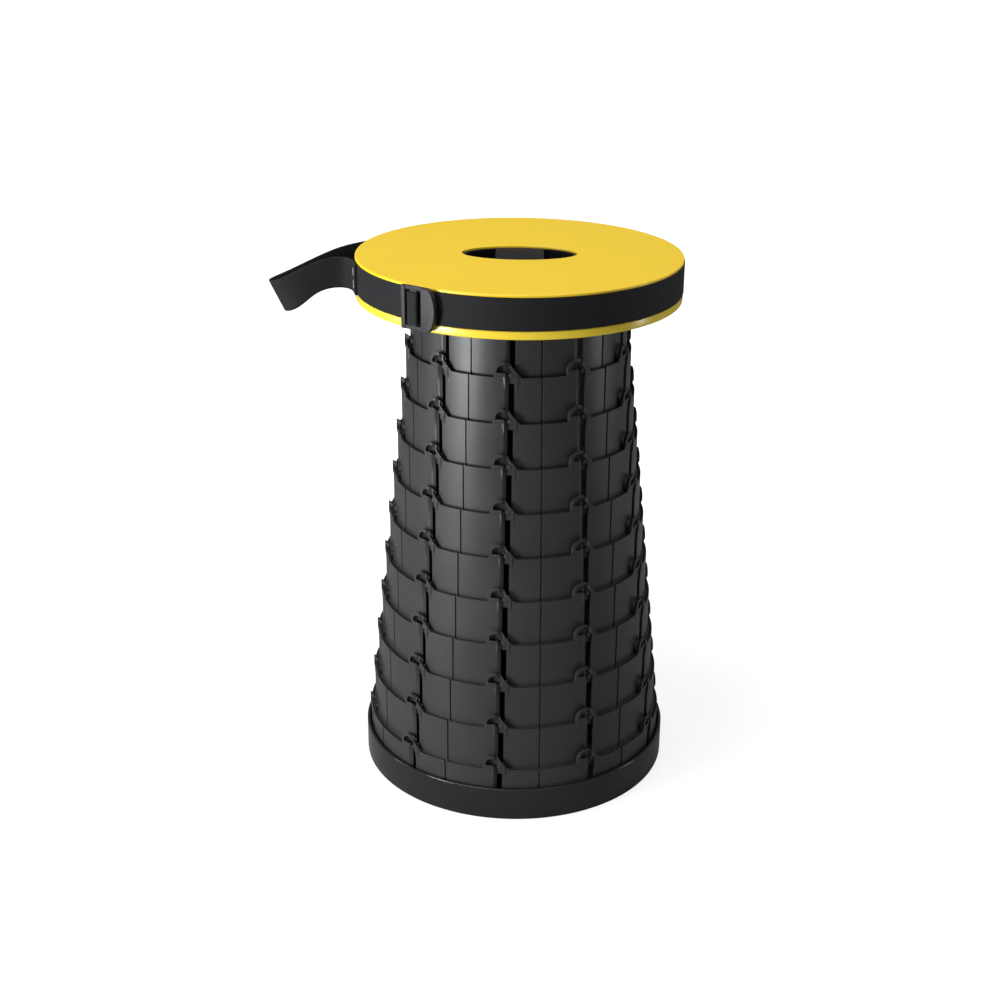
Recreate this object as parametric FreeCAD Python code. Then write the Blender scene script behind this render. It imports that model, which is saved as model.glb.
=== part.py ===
import FreeCAD, Part
import math
import os
from FreeCAD import Vector

# Collapsible telescopic stool, shown pulled out to its full height.
# Millimetres, +Z up. The origin is on the stool's axis, in the plane that it stands on.
# The carry loop leaves the seat towards -X, and the strap's buckle is at the front left, on the -Y side.

# Whole stool
stage_count = 11
stage_travel = 36.5
seat_travel = 21.9
segments = 10
segment_angle = 360.0 / segments
cutter_margin = 1.0
angle_margin = 1.0

# Telescoping rings, numbered 1 under the seat to 11 at the base
outer_ring_radius = 128.4
ring_step = 3.95
ring_wall = 2.2
ring_overlap = 5.7
front_slot_azimuth = -5.25
stage_creep = 0.23

# Slots, pins and the arches over them
slot_width = 4.6
slot_bevel = 2.6
slot_bevel_depth = 1.5
pin_radius = 2.0
pin_play = 0.2
arch_left = 6.5
arch_up = 5.0
arch_radius = 7.7
arch_band = 2.6
arch_slope = 50.0
arch_proud = 0.8
pocket_floor = 3.9
foot_band_clearance = 0.3
foot_band_hidden = 0.6
pin_pad_overhang = 1.1
pin_pad_margin = 0.8

# Base pan and feet
pan_rim_wall = 2.4
pan_rim_height = 28.5
pan_floor = 3.0
pan_fit = 0.15
pan_pin_skin = 1.1
pan_edge = 1.2
landing_gap = 0.2
hub_gap = 12.7
hub_height = 10.0
hub_slope = 8.0
hub_wall = 2.4
underside_rib = 2.4
underside_disc_radius = 18.0
pad_radius = 7.0
pad_depth = 1.6
pad_inset = 18.4
pad_count = 6

# Seat
seat_overhang = 1.4
seat_plate = 3.5
seat_flange = 2.1
seat_edge = 0.8
skirt_wall = 1.5
skirt_clearance = 0.3
lip_height = 6.6
lip_edge = 1.0
rebate = 0.7
rebate_height = 3.0
rebate_fit = 0.1
closed_lip_gap = 0.3
seat_rib = 1.6
seat_rib_depth = 5.0

# Seat collar and its screws
collar_flange_width = 18.75
collar_flange = 2.4
boss_length = 6.0
boss_radius = 4.5
screw_count = 5
screw_inset = 10.75
screw_radius = 1.5
screw_fit = 0.3
screw_pilot_fit = 0.1
screw_head_radius = 3.2
screw_head = 2.2
screw_length = 7.0

# Carrying handle in the seat
handle_length = 92.6
handle_width = 47.0
handle_fit = 0.2
handle_recess = 1.6
handle_frame = 3.0
handle_bridge = 39.0
handle_plate = 2.6
handle_flange = 5.0
handle_flange_depth = 2.0
handle_skirt = 9.0
handle_skirt_wall = 2.0

# Strap round the seat
webbing_width = 25.0
webbing = 1.6
webbing_fit = 0.3

# Carry loop of the strap: azimuth, distance out from the strap's face, and how far the webbing drops
loop_route = [
    (-74.0, 0.0, 0.0),
    (-77.0, 0.0, 0.0),
    (-80.0, 0.0, 0.0),
    (-83.0, 1.9, 0.0),
    (-84.4, 8.4, -0.8),
    (-84.1, 19.0, -0.6),
    (-83.8, 33.2, 4.0),
    (-83.8, 47.2, 10.8),
    (-84.3, 58.1, 15.8),
    (-86.0, 64.2, 17.8),
    (-88.1, 65.2, 18.2),
    (-90.3, 61.2, 17.4),
    (-92.5, 50.3, 14.0),
    (-96.1, 35.1, 8.0),
    (-100.4, 20.7, 2.6),
    (-104.2, 10.5, 0.4),
    (-107.4, 4.2, 0.0),
    (-111.0, 0.6, 0.0),
    (-114.0, 0.0, 0.0),
    (-117.0, 0.0, 0.0),
]

# Ladder lock buckle, lying flat on the strap
lock_azimuth = -35.3
lock_length = 36.4
lock_height = 33.6
lock_thickness = 2.4
lock_rail = 3.4
lock_sag = 1.4
lock_gap = 0.5
lock_bar = 3.6
lock_cross_left = -7.8
lock_cross_right = 0.8
lock_tab_start = 5.0
lock_tab_lift = 1.6
lock_tab_height = 24.5
lock_wrap = 1.2

# Sizes worked out from the ones above
ring_height = stage_travel + ring_overlap
slope = math.radians(arch_slope)
arch_inner = arch_radius - arch_band
pin_rise = arch_up - (pin_radius + pin_play - arch_inner + arch_left * math.sin(slope)) / math.cos(slope)
pin_height = ring_overlap + pin_rise
slot_start = pin_height - pin_radius - pin_play
foot_band = ring_step - ring_wall - foot_band_clearance
foot_band_height = ring_overlap - foot_band_hidden
pin_pad_height = pin_height + pin_radius + pin_pad_margin
arch_top = arch_up + arch_radius
pan_bore = outer_ring_radius + foot_band + pan_fit
pan_radius = pan_bore + pan_rim_wall
pad_circle = pan_radius - pad_inset
skirt_bore = outer_ring_radius + arch_proud + skirt_clearance
skirt_radius = skirt_bore + skirt_wall
seat_radius = skirt_radius + seat_overhang
groove_height = webbing_width + 2 * webbing_fit
band_bore = skirt_radius + webbing_fit
band_radius = band_bore + webbing


def ring_radius(number):
    """Outer radius of the wall of a ring; the seat's collar counts as number 0."""
    return outer_ring_radius - ring_step * (stage_count - number)


def slot_azimuth(number):
    """Where a ring's first slot lies, in degrees to the right of the front."""
    return front_slot_azimuth + stage_creep * (stage_count - number)


def ring_bottom(number):
    """Height of a ring's lower edge with the stool pulled out."""
    if number == stage_count:
        return pan_floor
    return pan_floor + landing_gap + stage_travel * (stage_count - number)


collar_bore = ring_radius(0) - ring_wall
collar_flange_radius = collar_bore - collar_flange_width
screw_circle = collar_bore - screw_inset
hub_outer = ring_radius(1) - ring_wall - hub_gap
hub_radius = hub_outer - hub_slope
seat_underside_to_lip = seat_flange + groove_height + lip_height - seat_plate
closed_lip_bottom = pan_rim_height + closed_lip_gap
ring_1_edge = ring_bottom(1) + ring_height
collar_bottom = ring_1_edge + pin_rise - pin_height
lip_bottom = closed_lip_bottom + stage_travel * (stage_count - 1) + seat_travel
seat_underside = lip_bottom + seat_underside_to_lip
seat_top = seat_underside + seat_plate
lip_top = lip_bottom + lip_height
groove_top = seat_top - seat_flange
band_bottom = lip_top + webbing_fit
webbing_middle = band_bottom + webbing_width / 2


def turned(shape, azimuth):
    """A copy of a shape made at the front (-Y), turned to the right by an azimuth in degrees."""
    copy = shape.copy()
    copy.rotate(Vector(0, 0, 0), Vector(0, 0, 1), azimuth)
    return copy


def spread(shape, count, start=0.0):
    """Copies of a shape made at the front, evenly round the axis."""
    return [turned(shape, start + 360.0 / count * index) for index in range(count)]


def revolved(points):
    """A solid of revolution from a closed outline of (radius, height) points."""
    outline = [Vector(radius, 0, height) for radius, height in points]
    face = Part.Face(Part.makePolygon(outline + outline[:1]))
    return face.revolve(Vector(0, 0, 0), Vector(0, 0, 1), 360)


def tube(outer, inner, bottom, top):
    """An upright tube on the axis."""
    height = top - bottom
    return Part.makeCylinder(outer, height, Vector(0, 0, bottom)).cut(
        Part.makeCylinder(inner, height, Vector(0, 0, bottom))
    )


def sector(radius, bottom, height, half_angle):
    """A solid pie slice about the front, from the axis out to a radius."""
    slice_solid = Part.makeCylinder(radius, height, Vector(0, 0, bottom), Vector(0, 0, 1), 2 * half_angle)
    return turned(slice_solid, -90.0 - half_angle)


def front_face(edges, height):
    """A face in the XZ plane from edges drawn about a height of zero."""
    face = Part.Face(Part.Wire(edges))
    face.translate(Vector(0, 0, height))
    return face


def cut_through(face, near, far):
    """A prism through the wall at the front, between two distances from the axis."""
    moved = face.copy()
    moved.translate(Vector(0, -far, 0))
    return moved.extrude(Vector(0, far - near, 0))


def chain(points):
    """Straight edges through (x, z) points in the XZ plane."""
    corners = [Vector(x, 0, z) for x, z in points]
    return [Part.LineSegment(a, b).toShape() for a, b in zip(corners, corners[1:])]


def arch_arc(radius):
    """The round top of an arch: an arc from its left end to where the slope leaves it, and both ends."""
    def on_circle(angle):
        return (-arch_left + radius * math.sin(angle), arch_up + radius * math.cos(angle))
    start = on_circle(-math.pi / 2)
    middle = on_circle((slope - math.pi / 2) / 2)
    end = on_circle(slope)
    ends = [Vector(x, 0, z) for x, z in (start, middle, end)]
    return Part.Arc(*ends).toShape(), start, end


def arch_face():
    """Outline of an arch, from the ring's edge line up over the slot and down its slope."""
    arc, start, end = arch_arc(arch_radius)
    foot = (end[0] + end[1] / math.tan(slope), 0.0)
    left_foot = (start[0], 0.0)
    return [arc] + chain([end, foot, left_foot, start])


def slot_face(ring_height_below_edge):
    """Outline of a slot: a pocket under the arch, a sloping neck and the straight channel below."""
    arc, start, end = arch_arc(arch_inner)
    half = slot_width / 2
    neck = end[1] - (half - end[0]) * math.tan(slope)
    corner = half + arch_band
    points = [
        end,
        (half, neck),
        (half, -ring_height_below_edge),
        (-half, -ring_height_below_edge),
        (-half, pocket_floor - arch_band),
        (-corner, pocket_floor),
        (start[0], pocket_floor),
        start,
    ]
    return [arc] + chain(points)


def bevel_cut(radius, bottom, top):
    """A wedge that bevels the left edge of a slot, for a length of the channel."""
    edge = -slot_width / 2
    corners = [
        (edge - 2 * slot_bevel, -radius - slot_bevel_depth),
        (edge, slot_bevel_depth - radius),
        (0, slot_bevel_depth - radius),
        (0, -radius - slot_bevel_depth),
    ]
    outline = [Vector(x, y, bottom) for x, y in corners]
    return Part.Face(Part.makePolygon(outline + outline[:1])).extrude(Vector(0, 0, top - bottom))


def foot_with_pins(radius, bottom, azimuth, pin_reach):
    """The thicker band at the foot of a stage, with a pad over the slot and its pin, as one slice."""
    half = segment_angle / 2
    band = sector(radius + foot_band, bottom, foot_band_height, half)
    pad_half = math.degrees((slot_width / 2 + pin_pad_overhang) / radius)
    pad = sector(radius + foot_band, bottom, pin_pad_height, pad_half)
    core = sector(radius, bottom, pin_pad_height, half + angle_margin)
    root = radius + foot_band / 2
    pin = Part.makeCylinder(
        pin_radius, radius + pin_reach - root, Vector(0, -root, bottom + pin_height), Vector(0, -1, 0)
    )
    return band.fuse(pad).cut(core).fuse(turned(pin, azimuth))


def joined_slices(piece):
    """All slices of a stage, fused into one solid."""
    slices = spread(piece, segments)
    return slices[0].fuse(slices[1:]).removeSplitter()


def make_ring(number):
    """One telescoping ring: wall, arches, bevelled J-shaped slots, and the foot band with its pins."""
    radius = ring_radius(number)
    bore = radius - ring_wall
    bottom = ring_bottom(number)
    edge = bottom + ring_height
    half = segment_angle / 2
    near = bore - ring_wall
    far = radius + ring_step
    wall = sector(radius, bottom, ring_height, half)
    crown = sector(radius + arch_proud, edge, arch_top + cutter_margin, half)
    arch = crown.common(cut_through(front_face(arch_face(), edge), near, far))
    slot = cut_through(front_face(slot_face(ring_height - slot_start), edge), near, far)
    bevel = bevel_cut(radius, bottom + pin_pad_height, edge + pocket_floor)
    core_height = ring_height + arch_top + 3 * cutter_margin
    core = sector(bore, bottom - cutter_margin, core_height, half + angle_margin)
    pin_reach = ring_step - pin_play
    if number == stage_count:
        pin_reach = pan_radius - pan_pin_skin - pin_play - radius
    piece = wall.fuse(arch).cut([core, slot, bevel])
    piece = piece.fuse(foot_with_pins(radius, bottom, -stage_creep, pin_reach))
    return turned(joined_slices(piece), slot_azimuth(number))


def make_collar():
    """The seat's own short stage: a collar with pins that ride in ring 1, and a flange for screws."""
    radius = ring_radius(0)
    half = segment_angle / 2
    length = seat_underside - collar_bottom
    wall = sector(radius, collar_bottom, length, half)
    core = sector(
        collar_bore, collar_bottom - cutter_margin, length + 2 * cutter_margin, half + angle_margin
    )
    foot = foot_with_pins(radius, collar_bottom, -stage_creep, ring_step - pin_play)
    collar = turned(joined_slices(wall.cut(core).fuse(foot)), slot_azimuth(0))
    flange_top = seat_underside - boss_length
    flange = tube(collar_bore + ring_wall / 2, collar_flange_radius, flange_top - collar_flange, flange_top)
    hole = Part.makeCylinder(
        screw_radius + screw_fit, collar_flange * 3, Vector(0, -screw_circle, flange_top - collar_flange * 2)
    )
    return collar.fuse(flange).cut(spread(hole, screw_count)).removeSplitter()


def make_screws():
    """The screws that hold the collar to the seat, heads down."""
    seat_of_head = seat_underside - boss_length - collar_flange
    head = Part.makeCylinder(screw_head_radius, screw_head, Vector(0, -screw_circle, seat_of_head - screw_head))
    shank = Part.makeCylinder(screw_radius, screw_length, Vector(0, -screw_circle, seat_of_head))
    return Part.makeCompound(spread(head.fuse(shank), screw_count))


def make_pan():
    """The base: a round pan whose rim holds ring 11, with a raised hub and a ribbed underside."""
    hub_foot = hub_height - pan_floor
    pan = revolved([
        (0, 0), (pan_radius - pan_edge, 0), (pan_radius, pan_edge),
        (pan_radius, pan_rim_height - pan_edge), (pan_radius - pan_edge, pan_rim_height),
        (pan_bore, pan_rim_height), (pan_bore, pan_floor), (hub_outer, pan_floor),
        (hub_radius, hub_height), (0, hub_height),
    ])
    hollow = revolved([
        (underside_disc_radius, 0), (hub_outer - hub_wall, 0),
        (hub_outer - hub_wall - hub_slope * (hub_height - hub_wall) / hub_foot, hub_height - hub_wall),
        (underside_disc_radius, hub_height - hub_wall),
    ])
    rib = Part.makeBox(
        underside_rib, hub_outer, hub_height, Vector(-underside_rib / 2, -hub_outer, 0)
    )
    hollow = hollow.cut(spread(rib, segments, segment_angle / 2))
    socket_depth = pan_radius - pan_pin_skin - pan_bore
    socket = Part.makeCylinder(
        pin_radius + pin_play,
        socket_depth + ring_step,
        Vector(0, -pan_bore + ring_step, pan_floor + pin_height),
        Vector(0, -1, 0),
    )
    recess = Part.makeCylinder(pad_radius, pad_depth, Vector(0, -pad_circle, 0))
    sockets = spread(socket, segments, front_slot_azimuth - stage_creep)
    return pan.cut([hollow] + sockets + spread(recess, pad_count)).removeSplitter()


def make_pads():
    """Rubber feet, pressed into the underside and level with it."""
    pad = Part.makeCylinder(pad_radius, pad_depth, Vector(0, -pad_circle, 0))
    return spread(pad, pad_count)


def handle_ellipse(grow, bottom, height):
    """An upright block with the handle's outline, made larger all round by a distance."""
    ellipse = Part.Ellipse(
        Vector(0, 0, bottom), handle_length / 2 + grow, handle_width / 2 + grow
    ).toShape()
    return Part.Face(Part.Wire([ellipse])).extrude(Vector(0, 0, height))


def make_seat():
    """The seat shell: plate, flange over the strap, skirt, and ribs and bosses underneath."""
    inner = seat_radius - seat_edge
    step_radius = skirt_bore + rebate
    seat = revolved([
        (0, seat_underside), (skirt_bore, seat_underside), (skirt_bore, lip_top + rebate_height),
        (step_radius, lip_top + rebate_height), (step_radius, lip_top),
        (skirt_radius, lip_top), (skirt_radius, groove_top), (seat_radius, groove_top),
        (seat_radius, seat_top - seat_edge), (inner, seat_top), (0, seat_top),
    ])
    boss = Part.makeCylinder(boss_radius, boss_length, Vector(0, -screw_circle, seat_underside - boss_length))
    rib_start = handle_length / 2 + handle_fit + handle_flange + webbing_fit
    rib = Part.makeBox(
        seat_rib,
        collar_bore - pan_fit - rib_start,
        seat_rib_depth,
        Vector(-seat_rib / 2, pan_fit - collar_bore, seat_underside - seat_rib_depth),
    )
    seat = seat.fuse(spread(boss, screw_count) + spread(rib, segments, segment_angle / 2))
    opening = handle_ellipse(handle_fit, seat_underside - cutter_margin, seat_plate + 2 * cutter_margin)
    pilot = Part.makeCylinder(
        screw_radius + screw_pilot_fit,
        boss_length + seat_plate - seat_flange,
        Vector(0, -screw_circle, seat_underside - boss_length),
    )
    return seat.cut([opening] + spread(pilot, screw_count)).removeSplitter()


def make_lip():
    """The lower rim of the seat, set into the skirt by a rebate; it closes the strap's groove."""
    tongue = skirt_bore + rebate - rebate_fit
    return revolved([
        (skirt_bore, lip_bottom), (seat_radius - lip_edge, lip_bottom),
        (seat_radius, lip_bottom + lip_edge), (seat_radius, lip_top - seat_edge),
        (seat_radius - seat_edge, lip_top), (tongue, lip_top),
        (tongue, lip_top + rebate_height - rebate_fit),
        (skirt_bore, lip_top + rebate_height - rebate_fit),
    ])


def make_handle():
    """The black handle set into the seat: a bridge to hold and two finger openings."""
    top = seat_top - handle_recess
    plate_bottom = top - handle_plate
    plate = handle_ellipse(0.0, plate_bottom, handle_plate)
    flange = handle_ellipse(handle_flange, seat_underside - handle_flange_depth, handle_flange_depth)
    skirt = handle_ellipse(0.0, seat_underside - handle_skirt, handle_skirt)
    opening = handle_ellipse(-handle_frame, seat_underside - handle_skirt, seat_plate + handle_skirt)
    bridge = Part.makeBox(
        handle_bridge, handle_width, handle_plate, Vector(-handle_bridge / 2, -handle_width / 2, plate_bottom)
    )
    cheek = Part.makeBox(
        handle_skirt_wall, handle_width, handle_skirt, Vector(0, -handle_width / 2, seat_underside - handle_skirt)
    )
    left_cheek = cheek.copy()
    left_cheek.translate(Vector(-handle_bridge / 2, 0, 0))
    cheek.translate(Vector(handle_bridge / 2 - handle_skirt_wall, 0, 0))
    grip = bridge.fuse([cheek, left_cheek]).common(opening)
    frame = plate.fuse([flange, skirt]).cut(opening)
    return frame.fuse(grip).removeSplitter()


def ribbon_section(point, direction, low, high):
    """An upright rectangle of webbing, square to the route at a plan point."""
    side = Vector(-direction.y, direction.x, 0).multiply(webbing / 2)
    base = Vector(point.x, point.y, 0)
    corners = [
        base - side + Vector(0, 0, low), base + side + Vector(0, 0, low),
        base + side + Vector(0, 0, high), base - side + Vector(0, 0, high),
    ]
    return Part.makePolygon(corners + corners[:1])


def make_loop():
    """The carry loop: webbing on edge that leaves the seat, folds at its end and comes back."""
    seated = band_radius + webbing_fit + webbing / 2
    points = []
    for azimuth, out, _ in loop_route:
        angle = math.radians(azimuth)
        points.append(Vector(math.sin(angle), -math.cos(angle), 0).multiply(seated + out))
    sections = []
    for index, (_, _, drop) in enumerate(loop_route):
        before = points[max(index - 1, 0)]
        after = points[min(index + 1, len(points) - 1)]
        direction = (after - before).normalize()
        low = band_bottom - drop
        sections.append(ribbon_section(points[index], direction, low, low + webbing_width))
    return Part.makeLoft(sections, True, True)


lock_wrap_back = band_radius + lock_gap
lock_back = lock_wrap_back + lock_wrap + webbing_fit
lock_face = lock_back + lock_thickness
lock_middle = webbing_middle - lock_sag


def lock_block(left, right, low, high, back, face):
    """A square block of the buckle, between places along the strap, up from its middle, and out."""
    return Part.makeBox(right - left, face - back, high - low, Vector(left, -face, lock_middle + low))


def make_lock():
    """The ladder lock: end bar, cross bar, and a thumb tab with a rounded end."""
    half = lock_height / 2
    inner = half - lock_rail
    left = -lock_length / 2
    body = lock_block(left, lock_tab_start + lock_rail, -half, half, lock_back, lock_face)
    window = lock_block(left + lock_bar, lock_tab_start, -inner, inner, lock_back, lock_face)
    cross = lock_block(lock_cross_left, lock_cross_right, -inner, inner, lock_back, lock_face)
    tab_half = lock_tab_height / 2
    low_corner = Vector(lock_tab_start, -lock_face - lock_tab_lift, lock_middle - tab_half)
    tip = Vector(lock_length / 2, -lock_face - lock_tab_lift, lock_middle)
    high_corner = Vector(lock_tab_start, -lock_face - lock_tab_lift, lock_middle + tab_half)
    outline = Part.Wire([
        Part.Arc(low_corner, tip, high_corner).toShape(),
        Part.LineSegment(high_corner, low_corner).toShape(),
    ])
    tab = Part.Face(outline).extrude(Vector(0, lock_thickness + lock_tab_lift, 0))
    return turned(body.cut(window).fuse([cross, tab]).removeSplitter(), lock_azimuth)


def make_wrap():
    """The end of the strap, folded round the buckle's cross bar and sewn."""
    half = webbing_width / 2
    left = lock_cross_left - webbing_fit
    right = lock_cross_right + webbing_fit
    front = lock_face + webbing_fit
    outer = lock_block(
        left - lock_wrap, right + lock_wrap, -half, half, lock_wrap_back, front + lock_wrap
    )
    inner = lock_block(left, right, -half, half, lock_back - webbing_fit, front)
    return turned(outer.cut(inner), lock_azimuth)


def main():
    os.makedirs("parts", exist_ok=True)
    pieces = {
        "base_pan": make_pan(),
        "seat_collar": make_collar(),
        "collar_screws": make_screws(),
        "seat_shell": make_seat(),
        "seat_lip": make_lip(),
        "seat_handle": make_handle(),
        "strap_band": tube(band_radius, band_bore, band_bottom, band_bottom + webbing_width),
        "carry_loop": make_loop(),
        "strap_buckle": make_lock(),
        "buckle_wrap": make_wrap(),
    }
    for index, pad in enumerate(make_pads()):
        pieces["foot_pad_{}".format(index + 1)] = pad
    for number in range(1, stage_count + 1):
        pieces["ring_{:02d}".format(number)] = make_ring(number)
    for name, shape in pieces.items():
        shape.exportStep("parts/{}.step".format(name))
        print(name, len(shape.Solids), shape.isValid(), round(shape.Volume))


main()
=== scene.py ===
"""A telescopic stool, dressed for a picture: nested rings between a yellow seat and a black base.

Lengths are in metres, in the frame of the packed model: +Z up along the stool's axis, -Y to the front.
A place on a ring is given by s, the distance along its surface to the right, and z, the height.
"""
import math

import bpy
import numpy as np
from mathutils import Matrix, Vector


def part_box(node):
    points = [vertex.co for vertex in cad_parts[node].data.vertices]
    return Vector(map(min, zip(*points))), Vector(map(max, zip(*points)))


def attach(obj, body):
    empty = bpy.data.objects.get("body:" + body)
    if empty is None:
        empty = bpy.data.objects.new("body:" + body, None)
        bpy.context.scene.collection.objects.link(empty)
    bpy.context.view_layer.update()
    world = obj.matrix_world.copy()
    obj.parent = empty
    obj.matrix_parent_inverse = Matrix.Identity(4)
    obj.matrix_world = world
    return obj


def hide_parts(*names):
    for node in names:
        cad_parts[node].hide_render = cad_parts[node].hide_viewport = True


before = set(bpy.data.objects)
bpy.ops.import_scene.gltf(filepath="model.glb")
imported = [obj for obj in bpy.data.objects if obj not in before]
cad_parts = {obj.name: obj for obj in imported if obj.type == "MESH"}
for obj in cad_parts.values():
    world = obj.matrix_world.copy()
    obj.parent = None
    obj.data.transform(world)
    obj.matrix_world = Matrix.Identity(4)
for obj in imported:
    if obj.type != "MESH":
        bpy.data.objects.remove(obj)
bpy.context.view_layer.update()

bl_info = {
    "name": "Telescopic Stool",
    "version": (1, 0, 0),
    "blender": (4, 5, 0),
    "location": "View3D > Sidebar > Stool",
    "description": "Builds a telescopic stool with a carry strap, its materials and a studio",
    "category": "Object",
}

MM = 0.001
TURN = 2.0 * math.pi
RING_COUNT = 11
SEGMENTS = 10


# Places read from the frame

def node_low(name):
    """Lowest height of a node of the frame."""
    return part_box(name)[0][2]


def node_high(name):
    """Greatest height of a node of the frame."""
    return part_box(name)[1][2]


SEAT_TOP = node_high("seat_shell")
STRAP_LOW = node_low("strap_band")
STRAP_HIGH = node_high("strap_band")
STRAP_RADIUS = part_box("strap_band")[1][0]
LIP_LOW = node_low("seat_lip")


# Sizes and colours that a user would change

def length_setting(name, description, millimetres):
    """A length that the sidebar shows."""
    return bpy.props.FloatProperty(
        name=name, description=description, default=millimetres * MM, unit="LENGTH"
    )


def angle_setting(name, description, degrees):
    """An angle that the sidebar shows."""
    return bpy.props.FloatProperty(
        name=name, description=description, default=math.radians(degrees), unit="ROTATION"
    )


def power_setting(name, description, watts):
    """A lamp's power that the sidebar shows."""
    return bpy.props.FloatProperty(name=name, description=description, default=watts, unit="POWER")


def colour_setting(name, description, red, green, blue):
    """A colour that the sidebar shows, with its linear red, green and blue."""
    return bpy.props.FloatVectorProperty(
        name=name, description=description, default=(red, green, blue, 1.0), size=4, subtype="COLOR"
    )


class RingSizes(bpy.types.PropertyGroup):
    """Sizes and colour of the telescoping rings."""
    outer_radius: length_setting("Outer radius", "Radius of the wall of the lowest ring", 128.4)
    step: length_setting("Step", "How much smaller each ring is than the one below", 3.95)
    wall: length_setting("Wall", "Thickness of a ring", 2.2)
    height: length_setting("Height", "Height of a ring up to its edge, without the arches", 42.2)
    front_azimuth: angle_setting("Front slot", "Angle of the lowest ring's front slot", -5.25)
    creep: angle_setting("Creep", "How far each ring is turned against the one below", 0.23)
    raised: length_setting("Raised edge", "How far the arches and the slots' edges stand proud", 0.8)
    edge_round: length_setting("Edge rounding", "Width of the rounding on a ring's edges", 0.35)
    colour: colour_setting("Plastic", "Colour of the rings", 0.024, 0.025, 0.027)


class SeatSizes(bpy.types.PropertyGroup):
    """Sizes and colours of the seat and its handle."""
    hole_length: length_setting("Hole length", "Length of the hand hole", 93.0)
    hole_width: length_setting("Hole width", "Width of the hand hole", 47.4)
    edge: length_setting("Edge", "Rounding of the seat's rim", 1.2)
    yellow: colour_setting("Seat", "Colour of the seat's top", 0.84, 0.575, 0.022)
    # The lower rim's yellow is set lighter than the seat's, as painted highlight on the glossy lip
    lip_highlit_yellow: colour_setting("Lip", "Colour of the seat's lower rim", 0.88, 0.66, 0.05)
    handle: colour_setting("Handle", "Colour of the handle", 0.010, 0.010, 0.011)


class StrapSizes(bpy.types.PropertyGroup):
    """Sizes and colours of the strap."""
    width: length_setting("Width", "Width of the webbing", 25.0)
    thickness: length_setting("Thickness", "Thickness of the webbing", 1.6)
    rib: length_setting("Rib", "Spacing of the ribs of the weave", 1.5)
    colour: colour_setting("Webbing", "Colour of the webbing", 0.0085, 0.0095, 0.011)
    buckle: colour_setting("Buckle", "Colour of the buckle", 0.026, 0.024, 0.024)


class BaseSizes(bpy.types.PropertyGroup):
    """Sizes and colours of the base and its feet."""
    edge: length_setting("Edge", "Rounding of the base's rim", 0.8)
    black: colour_setting("Base", "Colour of the base", 0.009, 0.009, 0.010)
    rubber: colour_setting("Feet", "Colour of the rubber feet", 0.03, 0.03, 0.03)


class StageSettings(bpy.types.PropertyGroup):
    """The studio: lamps and backdrop."""
    key_power: power_setting("Key", "Power of the main softbox", 12.5)
    left_power: power_setting("Left", "Power of the low softbox at the left", 30.0)
    edge_power: power_setting("Edges", "Power of the narrow softbox at each side", 5.0)
    top_power: power_setting("Top", "Power of the softbox above", 13.5)
    backdrop: colour_setting("Backdrop", "Colour of the floor and the surroundings", 1.0, 1.0, 1.0)


# Surfaces

MERGE_DISTANCE = 2e-6
SHARP_ANGLE = math.radians(35.0)
ROUNDED_ANGLE = math.radians(40.0)


def unit(vectors):
    """The vectors scaled to length one."""
    return vectors / np.linalg.norm(vectors, axis=-1, keepdims=True)


def circle(count):
    """Even angles round a circle, without the last, which is the first again."""
    return np.linspace(0.0, TURN, count, endpoint=False)


def grid_quads(rows, columns, close_rows=False, close_columns=False):
    """Quads of a grid of points stored row by row; a closed direction joins its last line to its first."""
    r = np.arange(rows if close_rows else rows - 1)
    c = np.arange(columns if close_columns else columns - 1)
    r, c = np.meshgrid(r, c, indexing="ij")
    r_next = (r + 1) % rows
    c_next = (c + 1) % columns
    corners = [r * columns + c, r * columns + c_next, r_next * columns + c_next, r_next * columns + c]
    return np.stack(corners, axis=-1).reshape(-1, 4)


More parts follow.
